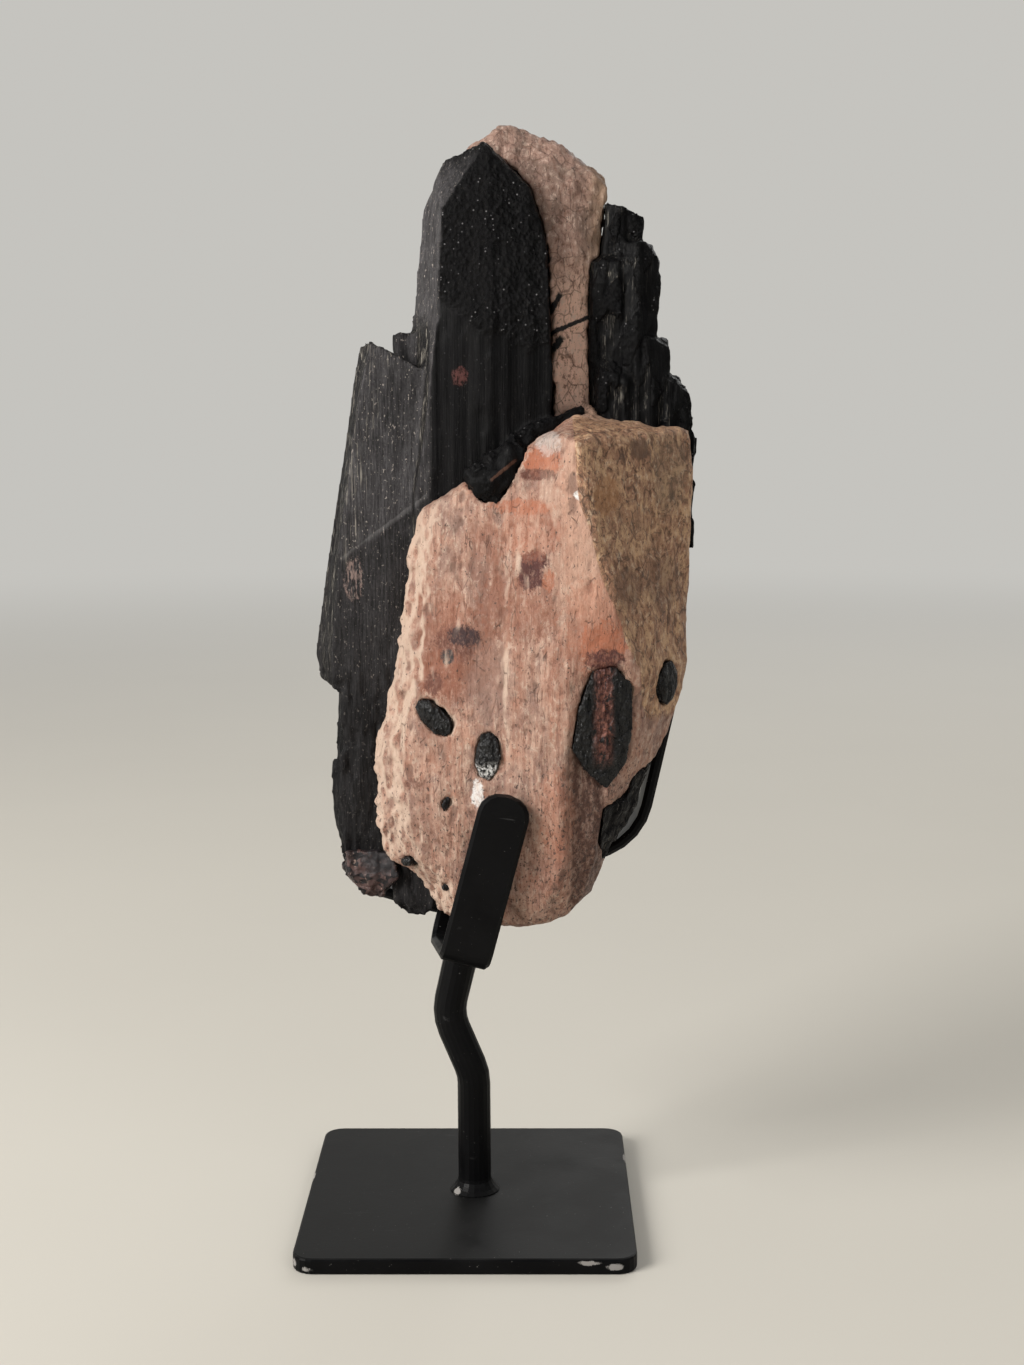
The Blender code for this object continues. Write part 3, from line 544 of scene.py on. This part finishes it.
def feldspar_material():
    s = Shader("pink_feldspar", roughness=0.62, specular=0.35)
    x = s.axis(0)
    z = s.axis(2)
    patches = s.noise((8, 8, 14), 6, 0.66, warp=0.7)
    mottle = s.noise((1.5, 1.5, 2.4), 7, 0.72)
    blotches = s.noise((4.2, 4.2, 6.5), 7, 0.72, warp=0.9)
    fine = s.noise((0.55, 0.55, 0.85), 4, 0.7)
    right = s.math("ADD", s.number("right"), s.times(s.ragged(), 0.6))
    behind = s.times(s.past(s.axis(1), -16, -8), s.past(z, 236, 250))
    colour = front_colour(s, mottle, patches)
    colour = s.mix(s.step(right, 0.38, 0.62), colour, right_colour(s, mottle, blotches))
    colour = s.mix(behind, colour, vein_colour(s, mottle, patches, blotches))
    # the left rim is milky
    rim = s.times(s.step(s.facing(0), -0.40, -0.75), s.past(z, 240, 205))
    colour = s.tint(colour, MILK, 0.85, rim)
    # dark specks and short cracks, denser low on the stone and on its right
    low = s.times(s.past(z, 170, 110), 0.05)
    low = s.math("ADD", low, s.times(s.past(x, 12, 40), s.past(z, 160, 135), 0.04))
    grit = s.math("ADD", s.noise((0.8, 0.8, 1.15), 4, 0.6), low)
    colour = s.tint(colour, SPECK, 0.8, s.step(grit, 0.625, 0.675))
    fissures = s.times(s.cracks((2.0, 2.0, 9.0), 0.03), s.step(s.noise((4, 4, 6), 3), 0.54, 0.62))
    colour = s.tint(colour, FISSURE, 0.5, fissures)
    normal = s.bump(fine, 0.30, 0.75)
    normal = s.bump(mottle, 0.9, 0.7, under=normal)
    normal = s.bump(s.noise((0.7, 1.0, 11), 4, 0.65), 0.5, 0.6, under=normal)
    normal = s.bump(s.times(fissures, -1.0), 0.35, 0.8, under=normal)
    return s.finish(colour, s.between(s.step(mottle, 0.35, 0.65), 0.72, 0.45), normal)


def make_feldspar():
    obj = dense_copy("feldspar", 0.86, 4)
    p, n = points_of(obj)
    x, y, z = p.T
    front = -n[:, 1]
    steps = flats(*cells(p, (3.6, 3.6, 17), seed=3), 0.12)
    grooves = noise(p, (1.9, 2.2, 42), seed=5) * ramp(front, 0.2, 0.8)
    broad = layered(p, (6, 6, 15), 3, seed=9)
    grains = layered(p, (1.7, 1.7, 2.0), 2, seed=13)
    pits = -ramp(noise(p, (2.6, 2.6, 4.2), seed=21), 0.45, 0.8)
    # the left rim is lumpy, and the dome and the vein behind are knobbly
    rim = ramp(-n[:, 0], 0.25, 0.8) * ramp(z, 222, 205)
    lumps = layered(p, (2.6, 2.6, 3.2), 2, seed=31) * rim
    behind = ramp(y, -14, -6) * ramp(z, 236, 250)
    knobs = flats(*cells(p, (3.2, 3.2, 3.8), seed=33), 0.25) + 0.4 * layered(p, (2, 2, 2), 2, seed=35)
    knobs = knobs * behind
    # the brown strip below the large inclusion lies deeper
    strip = ramp(x, 30.0, 31.5) * ramp(x, 42, 40) * ramp(z, 154, 148) * ramp(front, 0.3, 0.7)
    relief = 0.3 * steps + 0.17 * grooves + 0.35 * broad + 0.25 * grains + 0.25 * pits
    relief = relief + 1.3 * lumps + 1.1 * knobs - 0.9 * strip
    put_points(obj, p + n * relief[:, None])
    set_number(obj, "relief", 0.6 * grains + 0.9 * pits + 0.35 * steps + 0.4 * grooves)
    ridge_x, ridge_z = zip(*RIDGE)
    past = x - np.interp(z, ridge_z, ridge_x)
    set_number(obj, "right", ramp(past, -1.2, 1.2) * ramp(z, 148, 166))
    dress(obj, feldspar_material(), "feldspar")


# Tourmaline

JET = (0.0022, 0.0022, 0.0025)
SOFT_JET = (0.0045, 0.0044, 0.0046)
GREY_FILM = (0.125, 0.118, 0.122)
FLECK = (0.34, 0.30, 0.27)
SPARK = (0.42, 0.41, 0.42)
RIB_LIGHT = (0.30, 0.275, 0.235)
CREASE_GREY = (0.26, 0.25, 0.25)
SCUFF_PINK = (0.30, 0.215, 0.19)
DARK_RED = (0.11, 0.045, 0.04)
INCLUSION_BLACK = (0.003, 0.003, 0.0035)
INCLUSION_GREY = (0.014, 0.0135, 0.0135)
CORE_RED = (0.06, 0.022, 0.02)
CORE_PINK = (0.23, 0.095, 0.07)
SILVER = (0.55, 0.54, 0.52)
DIM_SPARK = (0.40, 0.39, 0.38)

BLACK_ROUGHNESS = 0.42
# The big crystal's ridges: their run to the right for each unit of height, and the height where they don't shift
RIDGE_LEAN = 0.155
RIDGE_LEVEL = 200
# Strokes on the crystals: two ends as X and Z, and the width
CREASE = ((-36.5, 202.0), (-10.0, 221.5), 1.4)
STREAK = ((8.5, 226.5), (15.5, 232.0), 0.8)
# Spots on the crystals: middle and reach
SCUFF = ((-33.0, -4.0, 196.5), (2.6, 8, 6.0))
RED_SPOT = ((-0.5, -14, 255.5), (2.3, 8, 2.5))
# Lines on the crystals: a point as X and Z, and the rise
CREASE_LINE = ((-36.5, 202.0), 0.73)
CRUSH_LINE = ((-6.0, 276.0), -0.5)


def tourmaline_material():
    """Black, with striations along its length and a grey film: dust where the surface holds it, and painted sheen on
    the middle crystal's left face.
    """
    s = Shader("black_tourmaline", roughness=BLACK_ROUGHNESS, specular=0.07)
    lines = s.noise((0.45, 0.45, 24), 4, 0.65)
    coarse = s.noise((1.5, 1.5, 44), 3, 0.55)
    cloud = s.noise((9, 9, 15), 5, 0.65, warp=0.5)
    fine = s.noise((0.5, 0.5, 0.8), 4, 0.7)
    dust_and_sheen = s.number("dust_and_sheen")
    granular = s.number("granular")
    colour = s.mix(s.step(coarse, 0.35, 0.65), JET, SOFT_JET)
    # grey film of dust, and of painted sheen on the middle crystal's left face, lighter where it is scuffed, in
    # upright fibres on the faces that hold it
    held = s.times(dust_and_sheen, s.between(s.step(cloud, 0.30, 0.62), 0.55, 1.0))
    fibres = s.step(s.noise((0.7, 0.7, 6.0), 5, 0.7), 0.38, 0.66)
    held = s.times(held, s.between(fibres, 0.55, 1.25), s.between(s.step(fine, 0.35, 0.65), 0.75, 1.15))
    colour = s.mix(held, colour, GREY_FILM)
    flecks = s.step(s.noise((0.6, 0.6, 1.0), 3, 0.55), 0.63, 0.69)
    colour = s.tint(colour, FLECK, 1.6, flecks, dust_and_sheen)
    # bright points where grains catch the light
    sparks = s.step(s.grains((1.5, 1.5, 1.5)), 0.19, 0.10)
    groups = s.step(s.noise((3.2, 3.2, 3.2), 2), 0.50, 0.58)
    sparks = s.times(sparks, groups, s.between(granular, 0.10, 0.9))
    colour = s.tint(colour, SPARK, 0.6, sparks)
    # ribs that shine along the big crystal's left side and here and there on the right crystals
    ribs = s.step(s.noise((0.5, 0.5, 16), 4, 0.7), 0.52, 0.66)
    ribs = s.times(ribs, s.number("glint"), s.step(s.noise((2.5, 2.5, 9), 4, 0.65), 0.42, 0.58))
    colour = s.mix(ribs, colour, RIB_LIGHT)
    # the crease across the big crystal, its scuff, the middle one's red spot and the rusty streak on the branch
    colour = s.tint(colour, CREASE_GREY, 0.22, s.stroke(*CREASE), s.step(dust_and_sheen, 0.25, 0.45))
    scuffed = s.step(s.noise((0.7, 0.7, 2.6), 4, 0.6), 0.44, 0.6)
    colour = s.tint(colour, SCUFF_PINK, 0.7, s.spot(*SCUFF), scuffed)
    reddened = s.step(s.noise((0.9, 0.9, 1.2), 4, 0.6), 0.35, 0.6)
    colour = s.tint(colour, DARK_RED, 0.85, s.spot(*RED_SPOT), reddened)
    colour = s.tint(colour, DARK_RUST, 0.8, s.stroke(*STREAK), s.past(s.axis(1), -13, -17))
    glossy = s.step(s.noise((1.2, 1.2, 4), 4, 0.6), 0.35, 0.65)
    rough = s.between(glossy, BLACK_ROUGHNESS + 0.12, BLACK_ROUGHNESS - 0.14)
    rough = s.math("ADD", rough, s.times(held, 0.28))
    rough = s.math("SUBTRACT", rough, s.times(sparks, 0.25))
    normal = s.bump(s.times(lines, s.between(granular, 1.0, 0.3)), 0.34, 0.8)
    normal = s.bump(coarse, 0.5, 0.4, under=normal)
    crush = s.math("ADD", s.noise((1.6, 1.6, 1.8), 6, 0.75, warp=0.4), s.grains((1.3, 1.3, 1.5)))
    normal = s.bump(s.times(granular, crush), 1.0, 0.8, under=normal)
    return s.finish(colour, rough, s.bump(fine, 0.16, 0.6, under=normal))


def striated(p, n, seed):
    """Ridges along the crystal, weakest on its end faces."""
    side = ramp(1 - np.abs(n[:, 2]), 0.15, 0.6)
    ridges = 0.34 * noise(p, (2.6, 2.6, 70), seed) + 0.24 * noise(p, (1.3, 1.3, 45), seed + 3)
    breaks = noise(p, (2.0, 2.0, 9), seed + 7)
    return ridges * side - 0.35 * ramp(breaks, 0.45, 0.8) * side


def make_tourmaline_left(material):
    obj = dense_copy("tourmaline_left", 0.8, 2)
    p, n = points_of(obj)
    x, y, z = p.T
    left = -n[:, 0]
    front = -n[:, 1]
    wander = 3.0 * layered(p, (6, 6, 6), 3, seed=43)
    # the big crystal leans, and its ridges with it
    big = ramp(x, -8.5, -10.5) * ramp(z, 275, 269)
    leaning = p.copy()
    leaning[:, 0] = x - RIDGE_LEAN * big * (z - RIDGE_LEVEL)
    relief = striated(leaning, n, seed=41)
    # the middle crystal's front is crushed above a ragged line that falls to the right
    crushed_part = ramp(over_line(p, *CRUSH_LINE) - 2.0 * wander, -2.0, 2.5)
    granular = (1 - big) * crushed_part * ramp(front, 0.15, 0.5)
    ends = ramp(np.abs(n[:, 2]), 0.45, 0.8)
    rough = np.maximum(granular, ends * 0.8)
    crumbs = cells(p, (2.4, 2.4, 3.2), seed=51)[0]
    crushed = 0.5 * (crumbs - 0.5) + 0.3 * noise(p, (1.6, 1.6, 1.6), seed=55)
    broad = 0.35 * layered(p, (7, 7, 22), 2, seed=57)
    branch = ramp(-y, 14.5, 16.5) * ramp(z, 215, 220)
    face = big * ramp(front, 0.5, 0.8)
    blocks = flats(*cells(p, (3.6, 3.6, 4.6), seed=58), 0.12)
    relief = relief * (1 - 0.7 * face) * (1 - rough) + crushed * rough + broad
    relief = relief + (crushed + 1.6 * blocks) * branch
    relief = relief + 0.12 * face * layered(p, (2.2, 2.2, 5), 2, seed=59)
    # the broken stub at the big crystal's foot is splintered
    stub = big * ramp(z, 174, 166)
    relief = relief + 1.3 * flats(*cells(p, (2.4, 2.4, 9), seed=60), 0.12, middle=0.6) * stub
    put_points(obj, p + n * relief[:, None])
    # painted sheen: the middle crystal's left face, turned to the light, gets a thick grey film; the big crystal's
    # front gets dust and is greyer above the crease
    left_face = (1 - big) * ramp(left, 0.45, 0.72) * ramp(z, 214, 222) * ramp(z + wander, 322, 312)
    above = ramp(over_line(p, *CREASE_LINE) + 0.4 * wander, -1.5, 1.5)
    dust_and_sheen = face * (0.24 + 0.20 * above) + 0.08 * big * (1 - face) + 0.55 * left_face
    dust_and_sheen = dust_and_sheen * (1 - 0.55 * ramp(z, 172, 158)) * (1 - branch)
    set_number(obj, "dust_and_sheen", np.clip(dust_and_sheen + 0.02, 0, 1))
    set_number(obj, "granular", np.clip(rough * (1 - left_face), 0, 1))
    # the big crystal's left side shines, and a band along the left of its front
    side = (1 - face) * ramp(left, 0.1, 0.5) * ramp(z, 150, 205)
    band = ramp(x - 0.2 * (z - 227), -26.7, -28.3) * ramp(z, 196, 208)
    set_number(obj, "glint", big * np.maximum(side, 0.6 * band))
    dress(obj, material, "tourmaline_left")


def make_tourmaline_right(material):
    obj = dense_copy("tourmaline_right", 0.65, 1)
    p, n = points_of(obj)
    number, border = cells(p, (3.2, 3.2, 9), seed=61)
    relief = striated(p, n, seed=63) + 1.1 * flats(number, border, 0.1)
    relief = relief + 0.4 * layered(p, (2, 2, 3.5), 2, seed=65)
    put_points(obj, p + n * relief[:, None])
    set_number(obj, "dust_and_sheen", np.full(len(p), 0.01))
    set_number(obj, "granular", ramp(number, 0.5, 0.9) * 0.7)
    set_number(obj, "glint", 0.5 * ramp(number, 0.55, 0.4) * ramp(-n[:, 1] - n[:, 0], 0.3, 0.9))
    dress(obj, material, "tourmaline_right")


def make_low_right(material):
    obj = dense_copy("tourmaline_low_right", 0.5, 1)
    p, n = points_of(obj)
    number, border = cells(p, (3, 3, 5), seed=71)
    relief = striated(p, n, seed=73) + 0.9 * flats(number, border, 0.1)
    put_points(obj, p + n * relief[:, None])
    set_number(obj, "dust_and_sheen", 0.02 + 0.06 * number)
    set_number(obj, "granular", ramp(number, 0.5, 0.9) * 0.6)
    set_number(obj, "glint", np.full(len(p), 0.3))
    dress(obj, material, "tourmaline_low_right")


def inclusion_material():
    s = Shader("inclusion_tourmaline", roughness=0.34, specular=0.3)
    fine = s.noise((0.6, 0.6, 2.4), 5, 0.68)
    colour = s.mix(s.step(fine, 0.42, 0.66), INCLUSION_BLACK, INCLUSION_GREY)
    core = s.times(s.number("core"), s.step(s.noise((2.0, 3, 3.2), 5, 0.68), 0.40, 0.47))
    reds = s.mix(s.step(s.noise((1.0, 1.0, 1.3), 4, 0.65), 0.38, 0.64), CORE_RED, CORE_PINK)
    colour = s.mix(core, colour, reds)
    silver = s.times(s.number("silver"), s.step(s.noise((0.9, 0.9, 0.9), 5, 0.7), 0.46, 0.56))
    colour = s.mix(silver, colour, SILVER)
    sparks = s.step(s.grains((1.1, 1.1, 1.1)), 0.16, 0.07)
    groups = s.step(s.noise((2.4, 2.4, 2.4), 2), 0.52, 0.6)
    colour = s.tint(colour, DIM_SPARK, 0.5, sparks, groups)
    rough = s.between(s.step(s.noise((1.0, 1.0, 2.0), 3), 0.35, 0.65), 0.5, 0.22)
    lines = s.bump(s.noise((0.55, 0.55, 9), 4, 0.65), 0.45, 0.85)
    return s.finish(colour, rough, s.bump(s.grains((0.9, 0.9, 1.3)), 0.6, 0.7, under=lines))


def make_inclusions():
    """The crystals in the feldspar's face. The large one has a red core, the middle one a silvery foot."""
    material = inclusion_material()
    names = sorted(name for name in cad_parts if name.startswith("inclusion_"))
    for index, node in enumerate(names):
        obj = dense_copy(node, 0.33, 1)
        p, n = points_of(obj)
        relief = 1.2 * flats(*cells(p, (2.0, 2.0, 5.5), seed=81 + index), 0.15)
        relief = relief + 0.35 * noise(p, (0.9, 0.9, 8), seed=83)
        relief = relief * ramp(-n[:, 1], 0.2, 0.6)
        put_points(obj, p + n * relief[:, None])
        low, high = (np.array(corner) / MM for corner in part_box(node))
        across = (p - (low + high) / 2) / (high - low) * 2
        core = np.zeros(len(p))
        silver = np.zeros(len(p))
        if node == "inclusion_large":
            core = ramp(np.abs(across[:, 0] - 0.02), 0.42, 0.12) * ramp(across[:, 2], -0.7, -0.35)
        if node == "inclusion_middle":
            silver = ramp(across[:, 2], -0.1, -0.6)
        set_number(obj, "core", core)
        set_number(obj, "silver", silver)
        dress(obj, material, node)


# Mica

MICA_DARK = (0.010, 0.008, 0.009)
MICA_PURPLE = (0.085, 0.05, 0.046)
MICA_PALE = (0.27, 0.19, 0.16)
MICA_SHADE = (0.02, 0.018, 0.02)
MICA_SHADED = ((-27.0, -6.0, 112.0), (5, 9, 5))  # middle and reach of the darker place


def mica_material():
    s = Shader("purple_brown_mica", roughness=0.36, specular=0.25)
    tone = s.axis(0, s.grains((2.0, 2.0, 1.6), "Color"))
    colour = s.mix(s.step(tone, 0.25, 0.9), MICA_DARK, MICA_PURPLE)
    colour = s.mix(s.step(s.noise((1.1, 1.1, 1.1), 5, 0.7), 0.59, 0.67), colour, MICA_PALE)
    colour = s.tint(colour, MICA_SHADE, 0.8, s.spot(*MICA_SHADED))
    normal = s.bump(tone, 0.9, 0.9)
    normal = s.bump(s.noise((0.5, 0.5, 0.5), 4, 0.7), 0.3, 0.8, under=normal)
    return s.finish(colour, s.between(tone, 0.55, 0.2), normal)


def make_mica():
    obj = dense_copy("mica_cluster", 0.45, 1)
    p, n = points_of(obj)
    relief = 1.5 * flats(*cells(p, (3.4, 3.4, 2.8), seed=91), 0.2, middle=0.55)
    relief = relief + 0.4 * layered(p, (1.8, 1.8, 1.8), 2, seed=93)
    put_points(obj, p + n * relief[:, None])
    dress(obj, mica_material(), "mica_cluster")


# Stand

PAINT_DARK = (0.002, 0.002, 0.0023)
PAINT_LIGHT = (0.004, 0.004, 0.0043)
LINT = (0.35, 0.34, 0.32)
DUST_FILM = (0.30, 0.30, 0.29)
SCUFF_GREY = (0.30, 0.30, 0.30)
BARE_STEEL = (0.30, 0.285, 0.27)

# Chips in the paint: middle and reach
CHIPS = [
    ((-49.8, -47.5, 2.6), (1.2, 1.8, 1.5)),
    ((-46.5, -50.2, 1.6), (2.4, 0.8, 0.8)),
    ((36.0, -50.2, 3.6), (2.8, 0.8, 0.7)),
    ((43.5, -50.0, 2.4), (2.4, 1.0, 0.9)),
    ((50.0, 24.0, 4.6), (0.8, 3.6, 0.9)),
    ((-3.8, -4.8, 6.0), (1.3, 1.6, 1.2)),
    ((-50.0, 10.0, 4.8), (0.6, 2.5, 0.6)),
]


def steel_material():
    s = Shader("black_painted_steel", roughness=0.42, specular=0.08)
    cloud = s.noise((26, 26, 26), 5, 0.6, warp=0.4)
    colour = s.mix(s.step(cloud, 0.35, 0.7), PAINT_DARK, PAINT_LIGHT)
    lint = s.step(s.noise((0.7, 0.7, 0.7), 3, 0.5), 0.725, 0.76)
    colour = s.tint(colour, LINT, 0.4, lint)
    # dust lies on the faces that point up
    film = s.times(s.step(s.facing(2), 0.6, 0.95), s.between(cloud, 0.0, 0.045))
    colour = s.mix(film, colour, DUST_FILM)
    scuffs = s.step(s.noise((22, 2.2, 4), 5, 0.65, warp=1.2), 0.66, 0.74)
    colour = s.tint(colour, SCUFF_GREY, 0.08, scuffs)
    bare = 0.0
    for middle, reach in CHIPS:
        bare = s.math("MAXIMUM", bare, s.spot(middle, reach))
    colour = s.tint(colour, BARE_STEEL, 0.85, bare)
    rough = s.between(s.step(cloud, 0.3, 0.7), 0.34, 0.5)
    rough = s.math("ADD", rough, s.times(scuffs, 0.12))
    uneven = s.bump(s.noise((1.1, 1.1, 1.1), 3), 0.05, 0.35)
    return s.finish(colour, rough, s.bump(s.times(bare, -1.0), 0.2, 0.6, under=uneven))


def dress_stand():
    material = steel_material()
    for node in ("base_plate", "stem", "front_hook", "rear_cradle"):
        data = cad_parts[node].data
        data.materials.clear()
        data.materials.append(material)


# Studio, in metres

BACK_TONE = (0.56, 0.55, 0.52)
FRONT_TONE = (0.20, 0.20, 0.202)
FLOOR_NEAR = (0.57, 0.545, 0.49)
FLOOR_LIFT = 1.05  # how much lighter the floor's pale clouds are
FLOOR_REACH = 40.0
FADE = (0.35, 2.4)  # from the stone, over which the floor turns into the room's tone

# Area lights: name, place, size, watts and colour
LIGHTS = [
    ("window", (-1.2, -0.8, 0.85), 0.8, 36, (1.0, 0.975, 0.94)),
    ("fill", (1.0, -1.3, 0.9), 1.2, 6, (1.0, 0.98, 0.95)),
    ("back", (0.5, 1.3, 1.1), 1.0, 6, (1.0, 1.0, 1.0)),
]
LIGHT_TARGET = (0, 0, 0.19)


def room_tone(nodes, direction):
    """The room's colour in a direction: pale behind the stone, darker in front of it."""
    return nodes.mix(nodes.step(nodes.axis(1, direction), -0.35, 0.55), FRONT_TONE, BACK_TONE)


def floor_material():
    s = Shader("pale_floor", roughness=0.75, specular=0.2)
    flat = s.vector("MULTIPLY", s.place, (1, 1, 0))
    far = s.vector("LENGTH", flat, output="Value")
    tone = s.noise((160, 160, 160), 3, 0.5)
    material = s.finish(s.mix(tone, FLOOR_NEAR, tuple(c * FLOOR_LIFT for c in FLOOR_NEAR)))
    glow = s.node("ShaderNodeEmission", {"Color": room_tone(s, s.vector("NORMALIZE", flat))}).outputs[0]
    both = s.node("ShaderNodeMixShader", {0: s.step(far, *FADE), 1: s.principled.outputs[0], 2: glow})
    s.feed(s.tree.nodes["Material Output"].inputs["Surface"], both.outputs[0])
    return material


def add_floor():
    mesh = bpy.data.meshes.new("floor")
    r = FLOOR_REACH
    mesh.from_pydata([(-r, -r, 0), (r, -r, 0), (r, r, 0), (-r, r, 0)], [], [(0, 1, 2, 3)])
    floor = bpy.data.objects.new("floor", mesh)
    floor.data.materials.append(floor_material())
    bpy.context.scene.collection.objects.link(floor)


def add_area_light(name, place, size, watts, colour):
    """A square soft box that points at the middle of the stone."""
    light = bpy.data.lights.new(name, "AREA")
    light.size = size
    light.energy = watts
    light.color = colour
    obj = bpy.data.objects.new(name, light)
    obj.location = place
    obj.rotation_euler = (Vector(LIGHT_TARGET) - obj.location).to_track_quat("-Z", "Y").to_euler()
    bpy.context.scene.collection.objects.link(obj)


def light_scene():
    for light in LIGHTS:
        add_area_light(*light)
    world = bpy.data.worlds.new("studio")
    world.use_nodes = True
    tree = world.node_tree
    nodes = Nodes(tree, tree.nodes.new("ShaderNodeTexCoord").outputs["Generated"])
    nodes.feed(tree.nodes["Background"].inputs["Color"], room_tone(nodes, nodes.place))
    bpy.context.scene.world = world
    bpy.context.scene.view_settings.view_transform = "Standard"


def add_camera():
    data = bpy.data.cameras.new("camera")
    data.sensor_width = SENSOR
    data.lens = FOCAL_PX / FRAME_HEIGHT_PX * SENSOR
    camera = bpy.data.objects.new("camera", data)
    yaw = Matrix.Rotation(math.radians(CAMERA_YAW), 4, "Z")
    pitch = Matrix.Rotation(math.radians(90 - CAMERA_PITCH), 4, "X")
    roll = Matrix.Rotation(math.radians(CAMERA_ROLL), 4, "Z")
    camera.matrix_world = Matrix.Translation(Vector(CAMERA_PLACE) * MM) @ yaw @ pitch @ roll
    bpy.context.scene.collection.objects.link(camera)
    bpy.context.scene.camera = camera


add_camera()
light_scene()
add_floor()
make_feldspar()
black = tourmaline_material()
make_tourmaline_left(black)
make_tourmaline_right(black)
make_low_right(black)
make_inclusions()
make_mica()
dress_stand()
